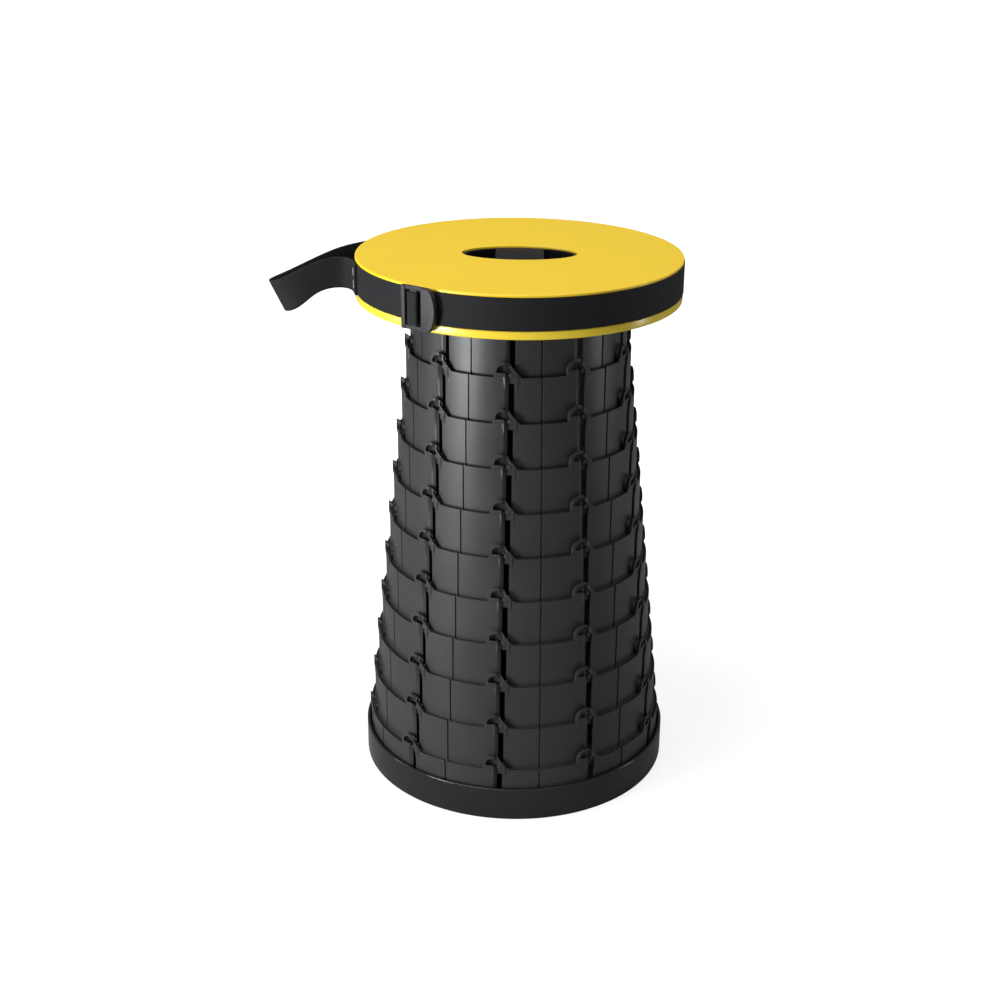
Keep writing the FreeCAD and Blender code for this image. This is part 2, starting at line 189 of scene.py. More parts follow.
class Shape:
    """Points and faces gathered from grids; points that lie together become one."""

    def __init__(self):
        self.points = []
        self.quads = []
        self.uvs = []
        self.count = 0

    def add_grid(self, grid, close_rows=False, close_columns=False, flip=False, uv=None):
        """Adds a (rows, columns, 3) array of points as a surface, with its UV if it has one."""
        rows, columns = grid.shape[:2]
        quads = grid_quads(rows, columns, close_rows, close_columns)
        if flip:
            quads = quads[:, ::-1]
        self.points.append(grid.reshape(-1, 3))
        self.uvs.append(np.zeros((rows * columns, 2)) if uv is None else uv.reshape(-1, 2))
        self.quads.append(quads + self.count)
        self.count += rows * columns

    def add_cap(self, rim, flip=False):
        """Adds a fan that closes a loop of points to their middle."""
        centre = np.broadcast_to(rim.mean(axis=0), rim.shape)
        self.add_grid(np.stack([rim, centre]), close_columns=True, flip=flip)

    def mesh(self, name, inner=None):
        """The surface as a smooth mesh with sharp edges; inner gives the other side's points of a shell."""
        points = np.concatenate(self.points)
        quads = np.concatenate(self.quads)
        uvs = np.concatenate(self.uvs)
        keys = np.round(points / MERGE_DISTANCE).astype(np.int64)
        _, first, inverse = np.unique(keys, axis=0, return_index=True, return_inverse=True)
        merged = inverse.reshape(-1)[quads]
        whole = (np.diff(np.sort(merged, axis=1), axis=1) > 0).all(axis=1)
        halves = np.concatenate([merged[~whole][:, [0, 1, 2]], merged[~whole][:, [0, 2, 3]]])
        half_source = np.concatenate([quads[~whole][:, [0, 1, 2]], quads[~whole][:, [0, 2, 3]]])
        kept = (np.diff(np.sort(halves, axis=1), axis=1) > 0).all(axis=1)
        squares, triangles = merged[whole], halves[kept]
        corners = points[first]
        loops = np.concatenate([uvs[quads[whole]].reshape(-1, 2), uvs[half_source[kept]].reshape(-1, 2)])
        if inner is not None:
            squares, triangles = shell_faces(squares, triangles, len(corners))
            corners = np.concatenate([corners, inner(corners)])
            loops = np.zeros((squares.size + triangles.size, 2))
        mesh = bpy.data.meshes.new(name)
        mesh.from_pydata(corners.tolist(), [], squares.tolist() + triangles.tolist())
        layer = mesh.uv_layers.new(name="UVMap")
        layer.data.foreach_set("uv", loops.astype(np.float32).reshape(-1))
        mesh.polygons.foreach_set("use_smooth", np.ones(len(mesh.polygons), bool))
        mesh.set_sharp_from_angle(angle=SHARP_ANGLE)
        mesh.update()
        return mesh


def shell_faces(squares, triangles, count):
    """Faces of a shell: the outer ones, the same turned over on the inner points, and walls at the edges."""
    edges = np.concatenate([
        np.stack([faces, np.roll(faces, -1, axis=1)], axis=-1).reshape(-1, 2)
        for faces in (squares, triangles)
    ])
    forward = edges[:, 0] * count + edges[:, 1]
    backward = edges[:, 1] * count + edges[:, 0]
    rim = edges[~np.isin(forward, backward)]
    walls = np.stack([rim[:, 1], rim[:, 0], rim[:, 0] + count, rim[:, 1] + count], axis=-1)
    return (
        np.concatenate([squares, squares[:, ::-1] + count, walls]),
        np.concatenate([triangles, triangles[:, ::-1] + count]),
    )


def add_piece(shape, name, body, material, nodes=(), inner=None):
    """Makes the shape an object that rides on a body and stands for nodes of the frame."""
    piece = bpy.data.objects.new(name, shape.mesh(name, inner))
    bpy.context.scene.collection.objects.link(piece)
    piece.data.materials.append(material)
    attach(piece, body)
    if nodes:
        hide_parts(*nodes)
    return piece


def round_edges(piece, width):
    """Rounds a piece's sharp edges with a Bevel modifier."""
    bevel = piece.modifiers.new("Round edges", "BEVEL")
    bevel.width = width
    bevel.segments = 2
    bevel.limit_method = "ANGLE"
    bevel.angle_limit = ROUNDED_ANGLE
    bevel.harden_normals = True


def on_cylinder(radius, azimuth, height):
    """Points at a radius and height, at an azimuth in radians to the right of the front."""
    azimuth, radius, height = np.broadcast_arrays(azimuth, radius, height)
    return np.stack([radius * np.sin(azimuth), -radius * np.cos(azimuth), height], axis=-1)


def smooth_step(value):
    """Rises smoothly from 0 to 1 as the value goes from 0 to 1."""
    value = np.clip(value, 0.0, 1.0)
    return value * value * (3.0 - 2.0 * value)


def revolve(profile, azimuth):
    """A profile of (radius, height) carried round the axis through an array of azimuths."""
    return on_cylinder(profile[:, :1], azimuth, profile[:, 1:])


def add_turned(shape, corners, rounding, edge_steps, steps):
    """A turned solid: an outline of (radius, height) corners, rounded, and carried all round the axis."""
    outline = rounded_outline(corners, rounding, edge_steps)
    shape.add_grid(revolve(outline, circle(steps)), close_rows=True, close_columns=True, flip=True)


def on_radius(points, radius):
    """Each point moved straight in or out to a distance from the axis."""
    return np.concatenate([unit(points[:, :2]) * radius, points[:, 2:]], axis=1)


def inside_wall(points, bore, bottom, sink):
    """Points of a wall's inner face: (bore, azimuth, z'), with z' = bottom + (1 - sink) * (z - bottom)."""
    inner = on_radius(points, bore)
    inner[:, 2] = bottom + (1.0 - sink) * (points[:, 2] - bottom)
    return inner


def beside(azimuth, across, out, height):
    """Points of a flat patch on the stool's side: across to the right, out from the axis, at a height."""
    across, out, height = np.broadcast_arrays(across, out, height)
    x = out * math.sin(azimuth) + across * math.cos(azimuth)
    y = -out * math.cos(azimuth) + across * math.sin(azimuth)
    return np.stack([x, y, height], axis=-1)


def add_prism(shape, outline, near, far, edge, place):
    """A block from an outline that runs round to the left, with its far end rounded by an edge radius.

    place turns the outline's two coordinates and the depth into points.
    """
    run = unit(np.roll(outline, -1, axis=0) - np.roll(outline, 1, axis=0))
    inward = np.stack([-run[:, 1], run[:, 0]], axis=-1)
    turn = np.linspace(0.0, math.pi / 2, 5)
    inset = np.concatenate([[0.0], edge * (1.0 - np.cos(turn))])
    depth = np.concatenate([[near], far - edge + edge * np.sin(turn)])
    rows = outline[None] + inset[:, None, None] * inward[None]
    grid = place(rows[..., 0], rows[..., 1], depth[:, None])
    shape.add_grid(grid, close_columns=True)
    shape.add_cap(grid[0], flip=True)
    shape.add_cap(grid[-1])


def rectangle(left, right, low, high):
    """Corners of a rectangle, running round to the left."""
    return [(left, low), (right, low), (right, high), (left, high)]


def rounded_outline(corners, radii, steps=4):
    """A closed outline with rounded corners: each is a quadratic curve between points on its two sides."""
    corners = np.asarray(corners, float)
    radii = np.broadcast_to(np.asarray(radii, float), len(corners))[:, None]
    start = corners + unit(np.roll(corners, 1, axis=0) - corners) * radii
    end = corners + unit(np.roll(corners, -1, axis=0) - corners) * radii
    t = np.linspace(0.0, 1.0, steps)[None, :, None]
    curve = (1 - t) ** 2 * start[:, None] + 2 * t * (1 - t) * corners[:, None] + t ** 2 * end[:, None]
    return curve.reshape(-1, 2)


def disc(radius, up, count):
    """Points round a circle whose middle lies some way up its own plane."""
    around = circle(count)
    return np.stack([radius * np.cos(around), up + radius * np.sin(around)], axis=-1)


def distance_along(path):
    """Distance of each point of a path from its start, along the path."""
    run = np.linalg.norm(np.diff(path, axis=0), axis=1)
    return np.concatenate([[0.0], np.cumsum(run)])


def smooth_path(points, samples):
    """A uniform cubic B-spline through the middle of its points, evaluated at even steps."""
    points = np.asarray(points, float)
    ends = np.concatenate([2 * points[:1] - points[1:2], points, 2 * points[-1:] - points[-2:-1]])
    spans = len(ends) - 3
    place = np.linspace(0.0, spans, samples)
    index = np.minimum(place.astype(int), spans - 1)
    t = (place - index)[:, None]
    p0, p1, p2, p3 = (ends[index + k] for k in range(4))
    return (
        (1 - t) ** 3 * p0 + (3 * t ** 3 - 6 * t ** 2 + 4) * p1
        + (-3 * t ** 3 + 3 * t ** 2 + 3 * t + 1) * p2 + t ** 3 * p3
    ) / 6.0


# Material groups and materials

DUST_COLOUR = (0.55, 0.55, 0.55, 1.0)
GRAIN_HEIGHT = 0.04 * MM
RIB_RELIEF = 0.2 * MM
# How much lighter the painted highlight on the weave's raised ribs is than the webbing
RIB_HIGHLIGHT = 1.7
COAT_ROUGHNESS = 0.1


def new_group(name, inputs):
    """A group that puts out a colour, a roughness and a normal; inputs hold (name, kind, default)."""
    group = bpy.data.node_groups.new(name, "ShaderNodeTree")
    for label, kind, default in inputs:
        socket = group.interface.new_socket(label, in_out="INPUT", socket_type=kind)
        socket.default_value = default
    for label, kind in (("Color", "Color"), ("Roughness", "Float"), ("Normal", "Vector")):
        group.interface.new_socket(label, in_out="OUTPUT", socket_type="NodeSocket" + kind)
    source = group.nodes.new("NodeGroupInput").outputs
    sink = group.nodes.new("NodeGroupOutput")
    return group, source, sink


def feed(tree, node, inputs):
    """Feeds a node's inputs by name or place, and returns it: sockets are linked, anything else is set."""
    for key, value in inputs.items():
        if isinstance(value, bpy.types.NodeSocket):
            tree.links.new(value, node.inputs[key])
        else:
            node.inputs[key].default_value = value
    return node


def add_node(tree, kind, inputs):
    """A new node of a tree, fed."""
    return feed(tree, tree.nodes.new(kind), inputs)


def math_node(tree, operation, *values):
    """A Math node fed by sockets or numbers; returns its output."""
    node = add_node(tree, "ShaderNodeMath", dict(enumerate(values)))
    node.operation = operation
    return node.outputs[0]


def noise(tree, scale, detail):
    """Noise on Object coordinates; returns its value."""
    place = tree.nodes.new("ShaderNodeTexCoord").outputs["Object"]
    fed = {"Vector": place, "Scale": scale, "Detail": detail}
    return add_node(tree, "ShaderNodeTexNoise", fed).outputs["Fac"]


def mixed_colour(tree, share, first, second):
    """The first colour at share 0, the second at share 1, and a mix between."""
    mix = tree.nodes.new("ShaderNodeMix")
    mix.data_type = "RGBA"
    return feed(tree, mix, {"Factor": share, "A": first, "B": second}).outputs["Result"]


def bumped(tree, height, strength, distance):
    """The normal that a height gives."""
    fed = {"Height": height, "Strength": strength, "Distance": distance}
    return add_node(tree, "ShaderNodeBump", fed).outputs["Normal"]


def moulded_group():
    """Moulded plastic: a fine grain for the bump, slow changes of gloss, and dust that lightens it."""
    group, source, sink = new_group("Moulded plastic", [
        ("Color", "NodeSocketColor", (0.5, 0.5, 0.5, 1.0)),
        ("Roughness", "NodeSocketFloat", 0.4),
        ("Roughness change", "NodeSocketFloat", 0.08),
        ("Grain size", "NodeSocketFloat", 900.0),
        ("Grain depth", "NodeSocketFloat", 0.15),
        ("Dust", "NodeSocketFloat", 0.03),
    ])
    grain = noise(group, source["Grain size"], 2.0)
    cloud = noise(group, 22.0, 4.0)
    centred = math_node(group, "SUBTRACT", cloud, 0.5)
    change = math_node(group, "MULTIPLY", centred, source["Roughness change"])
    doubled = math_node(group, "MULTIPLY", change, 2.0)
    amount = math_node(group, "MULTIPLY", cloud, source["Dust"])
    feed(group, sink, {
        "Color": mixed_colour(group, amount, source["Color"], DUST_COLOUR),
        "Roughness": math_node(group, "ADD", source["Roughness"], doubled),
        "Normal": bumped(group, grain, source["Grain depth"], GRAIN_HEIGHT),
    })
    return group


def weave_group():
    """Webbing: ribs across the strap made by two crossed sines on its UV, with threads of random tone and
    roughness; the colour is lighter on the raised ribs, a painted highlight, and darker in the hollows
    between them, painted shade.
    """
    group, source, sink = new_group("Webbing weave", [
        ("Color", "NodeSocketColor", (0.02, 0.02, 0.02, 1.0)),
        # Colour of the painted highlight on the weave's raised ribs
        ("Rib highlight color", "NodeSocketColor", (0.06, 0.06, 0.06, 1.0)),
        ("Rib", "NodeSocketFloat", 1.5 * MM),
    ])
    uv = group.nodes.new("ShaderNodeUVMap")
    uv.uv_map = "UVMap"
    split = add_node(group, "ShaderNodeSeparateXYZ", {"Vector": uv.outputs["UV"]})
    scale = math_node(group, "DIVIDE", TURN, source["Rib"])
    waves = [
        math_node(group, "SINE", math_node(group, "MULTIPLY", split.outputs[axis], scale)) for axis in "XY"
    ]
    crossed = math_node(group, "MULTIPLY", *waves)
    raised = math_node(group, "ADD", crossed, 1.0)
    height = math_node(group, "MULTIPLY", raised, 0.5)
    threads = noise(group, 260.0, 3.0)
    # Painted highlight and shade: the colour grows lighter with the ribs' height, scaled by the threads'
    # random tone
    rib_highlight_share = math_node(group, "MULTIPLY", height, threads)
    feed(group, sink, {
        "Color": mixed_colour(group, rib_highlight_share, source["Color"], source["Rib highlight color"]),
        "Roughness": math_node(group, "MULTIPLY_ADD", threads, 0.2, 0.55),
        "Normal": bumped(group, height, 0.7, RIB_RELIEF),
    })
    return group


def effect_material(name, group, values, specular, coat=0.0, sheen=0.0):
    """A Principled material whose colour, roughness and normal come from a group with its own values."""
    material = bpy.data.materials.new(name)
    material.use_nodes = True
    tree = material.node_tree
    effect = tree.nodes.new("ShaderNodeGroup")
    effect.node_tree = group
    feed(tree, effect, values)
    feed(tree, tree.nodes["Principled BSDF"], {
        "Base Color": effect.outputs["Color"],
        "Roughness": effect.outputs["Roughness"],
        "Normal": effect.outputs["Normal"],
        "Specular IOR Level": specular,
        "Coat Weight": coat,
        "Coat Roughness": COAT_ROUGHNESS,
        "Sheen Weight": sheen,
    })
    return material


def plastic(name, colour, roughness, grain=0.15, change=0.06, dust=0.02, specular=0.5, coat=0.0):
    """A moulded plastic of one colour, made once."""
    if name in bpy.data.materials:
        return bpy.data.materials[name]
    group = bpy.data.node_groups.get("Moulded plastic") or moulded_group()
    values = {
        "Color": tuple(colour), "Roughness": roughness, "Roughness change": change,
        "Grain depth": grain, "Dust": dust,
    }
    return effect_material(name, group, values, specular, coat=coat)


def webbing_material():
    """The strap's woven webbing, made once."""
    name = "Black webbing"
    if name in bpy.data.materials:
        return bpy.data.materials[name]
    strap = bpy.context.scene.stool_strap
    group = bpy.data.node_groups.get("Webbing weave") or weave_group()
    dark = tuple(strap.colour)
    # The raised ribs of the weave get a lighter colour, as painted highlight
    light = tuple(RIB_HIGHLIGHT * channel for channel in dark[:3]) + (1.0,)
    values = {"Color": dark, "Rib highlight color": light, "Rib": strap.rib}
    return effect_material(name, group, values, 0.15, sheen=0.03)


def dress_node(name, material):
    """Gives a node of the frame its material."""
    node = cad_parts[name]
    node.data.materials.clear()
    node.data.materials.append(material)


# The rings: outline of an arch and its slot, the same on every ring, in metres

SLOT_HALF = 2.3 * MM
SLOT_BEVEL = 2.6 * MM
SLOT_BEVEL_DEPTH = 1.5 * MM
ARCH_LEFT = 6.5 * MM
ARCH_UP = 5.0 * MM
ARCH_OUTER = 7.7 * MM
ARCH_BAND = 2.6 * MM
ARCH_INNER = ARCH_OUTER - ARCH_BAND
ARCH_SLOPE = math.radians(50.0)
POCKET_FLOOR = 3.9 * MM
SLOT_START = 5.27 * MM
PIN_HEIGHT = 7.47 * MM
PIN_RADIUS = 2.0 * MM
FOOT_HEIGHT = 5.1 * MM
FOOT_PROUD = 1.45 * MM
FOOT_LIFT = 0.2 * MM
FOOT_ROOT = 0.1 * MM
PIN_PAD_HEIGHT = 10.27 * MM
PIN_PAD_HALF = 3.4 * MM
PIN_REACH = 3.75 * MM
GROOVE_AZIMUTH = math.radians(14.9)
GROOVE_HALF = 0.6 * MM
GROOVE_SIDE = 0.3 * MM
GROOVE_DEPTH = 1.1 * MM
TOP_SLOPE = 1.3 * MM
BAND_FRACTIONS = np.array([0.0, 0.12, 0.3, 0.5, 0.7, 0.88, 1.0])
BAND_FADE = 0.5 * MM
PAD_FADE = 1.0 * MM
SINE, COSINE, TANGENT = math.sin(ARCH_SLOPE), math.cos(ARCH_SLOPE), math.tan(ARCH_SLOPE)
ARCH_END_S = -ARCH_LEFT + ARCH_INNER * SINE
ARCH_END_Z = ARCH_UP + ARCH_INNER * COSINE
NECK = ARCH_END_Z - (SLOT_HALF - ARCH_END_S) * TANGENT
SHOULDER = SLOT_HALF + ARCH_BAND * SINE
ARCH_FOOT = SHOULDER + (NECK + ARCH_BAND * COSINE) / TANGENT
BELOW_RING = -60.0 * MM


def hole_outline():
    """The edge of the slot and its pocket as (s, z) points, from its left wall round to its right wall."""
    angle = np.linspace(-math.pi / 2, ARCH_SLOPE, 14)
    arc = np.stack([
        -ARCH_LEFT + ARCH_INNER * np.sin(angle), ARCH_UP + ARCH_INNER * np.cos(angle)
    ], axis=-1)
    left = [
        (-SLOT_HALF, BELOW_RING), (-SLOT_HALF, POCKET_FLOOR - ARCH_BAND),
        (-SLOT_HALF - ARCH_BAND, POCKET_FLOOR), (-ARCH_LEFT - ARCH_INNER, POCKET_FLOOR),
    ]
    return np.concatenate([left, arc, [(SLOT_HALF, NECK), (SLOT_HALF, BELOW_RING)]])


def distance_to_line(points, line):
    """Least distance of each (s, z) point to a broken line."""
    start = line[:-1][None]
    run = (line[1:] - line[:-1])[None]
    offset = points[:, None] - start
    share = np.clip((offset * run).sum(-1) / (run ** 2).sum(-1), 0.0, 1.0)
    return np.linalg.norm(offset - share[..., None] * run, axis=-1).min(axis=1)


def raised_edge(s, z, outline):
    """Share of the raised edge at a place: all within a band of the slot, fading below the ring's edge."""
    points = np.stack([s.reshape(-1), z.reshape(-1)], axis=-1)
    distance = distance_to_line(points, outline).reshape(s.shape)
    across = smooth_step((ARCH_BAND + BAND_FADE - distance) / BAND_FADE)
    down = np.clip(1.0 + (z + 1.0 * MM) / (9.0 * MM), 0.0, 1.0)
    return across * down


def groove(s, radius):
    """How deep the thin upright groove of a ring's wall is at a place."""
    middle = GROOVE_AZIMUTH * radius
    return smooth_step((GROOVE_HALF + GROOVE_SIDE - np.abs(s - middle)) / GROOVE_SIDE)


def slot_bevel(s, z, height):
    """How far the bevel at the left of a slot lowers the surface at a place, as a share of its depth."""
    across = np.clip((s + SLOT_HALF + SLOT_BEVEL) / SLOT_BEVEL, 0.0, 1.0) * (s < 0.0)
    return across * smooth_step((z + height - PIN_PAD_HEIGHT) / PAD_FADE)


def even(start, end, step):
    """Values from start to end, about a step apart, without the first."""
    count = max(2, int(round(abs(end - start) / step)) + 1)
    return np.linspace(start, end, count)[1:]


def wall_columns(radius):
    """Places along a tile: on the arch's left leg, from there to the slot, and on to the next arch."""
    leg_inside = -ARCH_LEFT - ARCH_INNER
    leg = leg_inside - ARCH_BAND * BAND_FRACTIONS[::-1]
    band = SLOT_HALF + ARCH_BAND
    left = np.concatenate([leg, even(leg_inside, -band, 1.2 * MM), even(-band, -SLOT_HALF, 0.6 * MM)])
    side = GROOVE_HALF + GROOVE_SIDE
    sides = GROOVE_AZIMUTH * radius + np.array([-side, -GROOVE_HALF, GROOVE_HALF, side])
    next_arch = radius * TURN / SEGMENTS - ARCH_LEFT - ARCH_OUTER
    right = np.concatenate([
        SLOT_HALF + (SHOULDER - SLOT_HALF) * BAND_FRACTIONS, even(SHOULDER, band, BAND_FADE),
        [band + BAND_FADE], even(band + BAND_FADE, ARCH_FOOT, 1.2 * MM),
        even(ARCH_FOOT, sides[0], 4.0 * MM), sides[1:],
        even(sides[-1], next_arch - 0.5 * MM, 4.0 * MM), [next_arch],
    ])
    return leg, left, right


def wall_rows(height):
    """Heights on a tile from the ring's foot up to its edge, at 0, and those below the slot's floor."""
    slot_floor = SLOT_START - height
    pad_top = PIN_PAD_HEIGHT - height
    rows = np.concatenate([
        [-height], even(-height, slot_floor, 2.0 * MM), even(slot_floor, pad_top, 2.5 * MM),
        even(pad_top, pad_top + PAD_FADE, 0.5 * MM), even(pad_top + PAD_FADE, -10.0 * MM, 4.5 * MM),
        even(-10.0 * MM, 0.0, 1.1 * MM),
    ])
    return rows, rows[rows <= slot_floor + 1e-9]


def over_edge(columns, tops):
    """A block above the ring's edge: s at the columns, and z = share * top at seven shares."""
    share = np.array([0.0, 0.2, 0.33, 0.5, 0.67, 0.85, 1.0])[:, None]
    return np.broadcast_to(columns, (len(share), len(columns))), share * tops


def arch_block():
    """The arch's band: an arc, then a straight slope down to the slot, at each reach from its middle."""
    angle = np.linspace(-math.pi / 2, ARCH_SLOPE, 22)
    straight = np.linspace(0.0, (SLOT_HALF - ARCH_END_S) / COSINE, 6)[1:]
    reach = ARCH_INNER + ARCH_BAND * BAND_FRACTIONS[:, None]
    s_arc = -ARCH_LEFT + reach * np.sin(angle)
    z_arc = ARCH_UP + reach * np.cos(angle)
    s_line = s_arc[:, -1:] + straight * COSINE
    z_line = z_arc[:, -1:] - straight * SINE
    return np.hstack([s_arc, s_line]), np.hstack([z_arc, z_line])


def ring_blocks(radius, height):
    """The wall of one tile as blocks of (s, z) grids: below the edge, then round the slot and its arch."""
    leg, left, right = wall_columns(radius)
    rows, below_slot = wall_rows(height)
    top_left = np.minimum(POCKET_FLOOR, POCKET_FLOOR - ARCH_BAND + (-SLOT_HALF - left))
    over = right[right <= ARCH_FOOT + 1e-9]
    top_right = np.where(
        over < SHOULDER, NECK + (over - SLOT_HALF) * COSINE / SINE, (ARCH_FOOT - over) * TANGENT
    )
    return [
        np.meshgrid(left, rows), np.meshgrid(right, rows),
        np.meshgrid(np.array([-SLOT_HALF, 0.0, SLOT_HALF]), below_slot),
        over_edge(left, top_left), np.meshgrid(leg, np.array([POCKET_FLOOR, ARCH_UP])),
        over_edge(over, top_right), arch_block(),
    ]


def add_ring_wall(shape, radius, azimuth, bottom, height, raised):
    """The outer face of a ring: each block bent round the cylinder and repeated for every tile."""
    outline = hole_outline()
    pitch_angle = TURN / SEGMENTS
    tiles = azimuth + pitch_angle * np.arange(SEGMENTS)
    for s, z in ring_blocks(radius, height):
        bevel = slot_bevel(s, z, height)
        proud = raised * raised_edge(s, z, outline) * (1.0 - bevel)
        wrapped = raised * raised_edge(s - pitch_angle * radius, z, outline)
        lowered = GROOVE_DEPTH * groove(s, radius) + SLOT_BEVEL_DEPTH * bevel
        reach = radius + np.maximum(proud, wrapped) - lowered
        for tile in tiles:
            shape.add_grid(on_cylinder(reach, tile + s / radius, bottom + height + z))


def add_foot(shape, radius, azimuth, bottom):
    """The thicker foot of a stage: a rounded band, and over each slot a pad with a pin."""
    low, outer, inner = bottom + FOOT_LIFT, radius + FOOT_PROUD, radius - FOOT_ROOT
    add_turned(shape, rectangle(inner, outer, low, bottom + FOOT_HEIGHT), 0.35 * MM, 3, 160)
    pad = rounded_outline(
        rectangle(-PIN_PAD_HALF, PIN_PAD_HALF, low - bottom, PIN_PAD_HEIGHT), 0.6 * MM, 4
    )
    pin = disc(PIN_RADIUS, PIN_HEIGHT, 16)
    for turned in azimuth + TURN / SEGMENTS * np.arange(SEGMENTS):
        def place(across, up, out):
            return beside(turned, across, out, bottom + up)
        add_prism(shape, pad, inner, outer - 0.05 * MM, 0.3 * MM, place)
        add_prism(shape, pin, inner, radius + PIN_REACH, 0.4 * MM, place)


def ring_plastic():
    """The charcoal plastic of the rings and the collar."""
    return plastic("Charcoal plastic", bpy.context.scene.stool_rings.colour, 0.36, grain=0.2, change=0.08)


class STOOL_OT_rings(bpy.types.Operator):
    """Build the telescoping rings with their arches, slots, pins and grooves"""
    bl_idname = "stool.rings"
    bl_label = "Rings"

    def execute(self, context):
        sizes = context.scene.stool_rings
        for number in range(1, RING_COUNT + 1):
            name = "ring_{:02d}".format(number)
            radius = sizes.outer_radius - sizes.step * (RING_COUNT - number)
            azimuth = sizes.front_azimuth + sizes.creep * (RING_COUNT - number)
            bottom = node_low(name)
            shape = Shape()
            add_ring_wall(shape, radius, azimuth, bottom, sizes.height, sizes.raised)
            body = "base" if number == RING_COUNT else "stage_{:02d}".format(number)
            bore = radius - sizes.wall
            ring = add_piece(
                shape, name + "_wall", body, ring_plastic(), [name],
                lambda points: inside_wall(points, bore, bottom, TOP_SLOPE / sizes.height),
            )
            round_edges(ring, sizes.edge_round)
            foot = Shape()
            add_foot(foot, radius, azimuth - sizes.creep, bottom)
            add_piece(foot, name + "_foot", body, ring_plastic())
        return {"FINISHED"}


# The strap; the loop's route is listed: azimuth in degrees, then out and down in millimetres

LOOP_ROUTE = [
    (-74.0, 0.0, 0.0), (-77.0, 0.0, 0.0), (-80.0, 0.0, 0.0), (-83.0, 1.9, 0.0),
    (-84.4, 8.4, -0.8), (-84.1, 19.0, -0.6), (-83.8, 33.2, 4.0), (-83.8, 47.2, 10.8),
    (-84.3, 58.1, 15.8), (-86.0, 64.2, 17.8), (-88.1, 65.2, 18.2), (-90.3, 61.2, 17.4),
    (-92.5, 50.3, 14.0), (-96.1, 35.1, 8.0), (-100.4, 20.7, 2.6), (-104.2, 10.5, 0.4),
    (-107.4, 4.2, 0.0), (-111.0, 0.6, 0.0), (-114.0, 0.0, 0.0), (-117.0, 0.0, 0.0),
]

WEBBING_FIT = 0.3 * MM
WEBBING_MIDDLE = (STRAP_LOW + STRAP_HIGH) / 2
LOOP_END_START, LOOP_END_RUN = 22.0 * MM, 40.0 * MM
LOOP_STRETCH = 3.0 * MM
LOOP_DROP = 2.0 * MM
LOOP_LEAN = 12.0 * MM
THREAD_RADIUS = 0.28 * MM
TACK_AZIMUTHS = math.radians(-77.0), math.radians(-114.0)
TACK_LOWS = STRAP_LOW + 4.5 * MM, STRAP_LOW + 14.5 * MM
TACK_HALF = 0.55 * MM
TACK_PITCH = 0.75 * MM
TACK_LENGTH = 6.5 * MM
TACK_LIFT = 0.15 * MM

# The buckle: places across the strap from its middle, out from the axis, and up from its own middle
LOCK_AZIMUTH = math.radians(-33.9)
LOCK_MIDDLE = WEBBING_MIDDLE - 1.4 * MM
LOCK_BACK = 134.9 * MM
LOCK_HALF_HEIGHT = 16.8 * MM
LOCK_RAIL = 3.2 * MM
FOLD_LEFT, FOLD_RIGHT = -7.8 * MM, 2.2 * MM
FOLD_BACK, FOLD_FRONT = 133.5 * MM, 139.4 * MM
FOLD_THICKNESS = 1.2 * MM
FOLD_ROUND = 2.4 * MM


def webbing_section(width, thickness):
    """The webbing's section as (out, up) points round a rectangle with rounded edges."""
    half = thickness / 2
    corners = [(-half, 0.0), (half, 0.0), (half, width), (-half, width)]
    section = rounded_outline(corners, 0.7 * half, 4)
    rise = np.linspace(0.0, 1.0, 9)[1:-1, None]
    sides = []
    for index in range(4):
        corner = section[4 * index:4 * index + 4]
        following = section[(4 * index + 4) % 16]
        sides.append(corner)
        if index % 2:
            sides.append(corner[-1] + (following - corner[-1]) * rise)
    return np.concatenate(sides)


def ribbon(path, section, lift, lean):
    """Webbing on edge along a level path, lifted and leaning by its own amounts there.

    Each point is path + out * side + lean * (1 - up / width) towards +X, so the lower edge leans the most.
    """
    tangent = unit(np.gradient(path, axis=0))
    side = np.stack([-tangent[:, 1], tangent[:, 0]], axis=-1)
    below = 1.0 - section[:, 1] / section[:, 1].max()
    x = path[:, 0] + section[:, 0][:, None] * side[:, 0] + below[:, None] * lean[None, :]
    y = path[:, 1] + section[:, 0][:, None] * side[:, 1]
    z = section[:, 1][:, None] + lift[None, :]
    return np.stack([x, y, z], axis=-1)


def ribbon_uv(path, section):
    """Distance along the webbing, and height on it, in metres."""
    return np.stack(np.broadcast_arrays(distance_along(path), section[:, 1:]), axis=-1)


def thread(shape, path, radius):
    """A thin round thread along a path of points, with a seven-sided section square to the path."""
    outward = unit(path * np.array([1.0, 1.0, 0.0]))
    side = np.cross(unit(np.gradient(path, axis=0)), outward)
    around = circle(7)[:, None, None]
    shape.add_grid(path + radius * (np.cos(around) * outward + np.sin(around) * side), close_rows=True)


def add_bar_tack(shape, azimuth, radius, low, high):
    """A bar tack: thread that runs to and fro across a short upright row, as a wave in azimuth."""
    turns = int((high - low) / TACK_PITCH)
    t = np.linspace(0.0, turns, 8 * turns + 1)
    wave = TACK_HALF * np.cos(TURN * t)
    lift = TACK_LIFT * np.abs(np.sin(TURN * t))
    path = on_cylinder(radius + lift, azimuth + wave / radius, low + (high - low) * t / turns)
    thread(shape, path, THREAD_RADIUS)


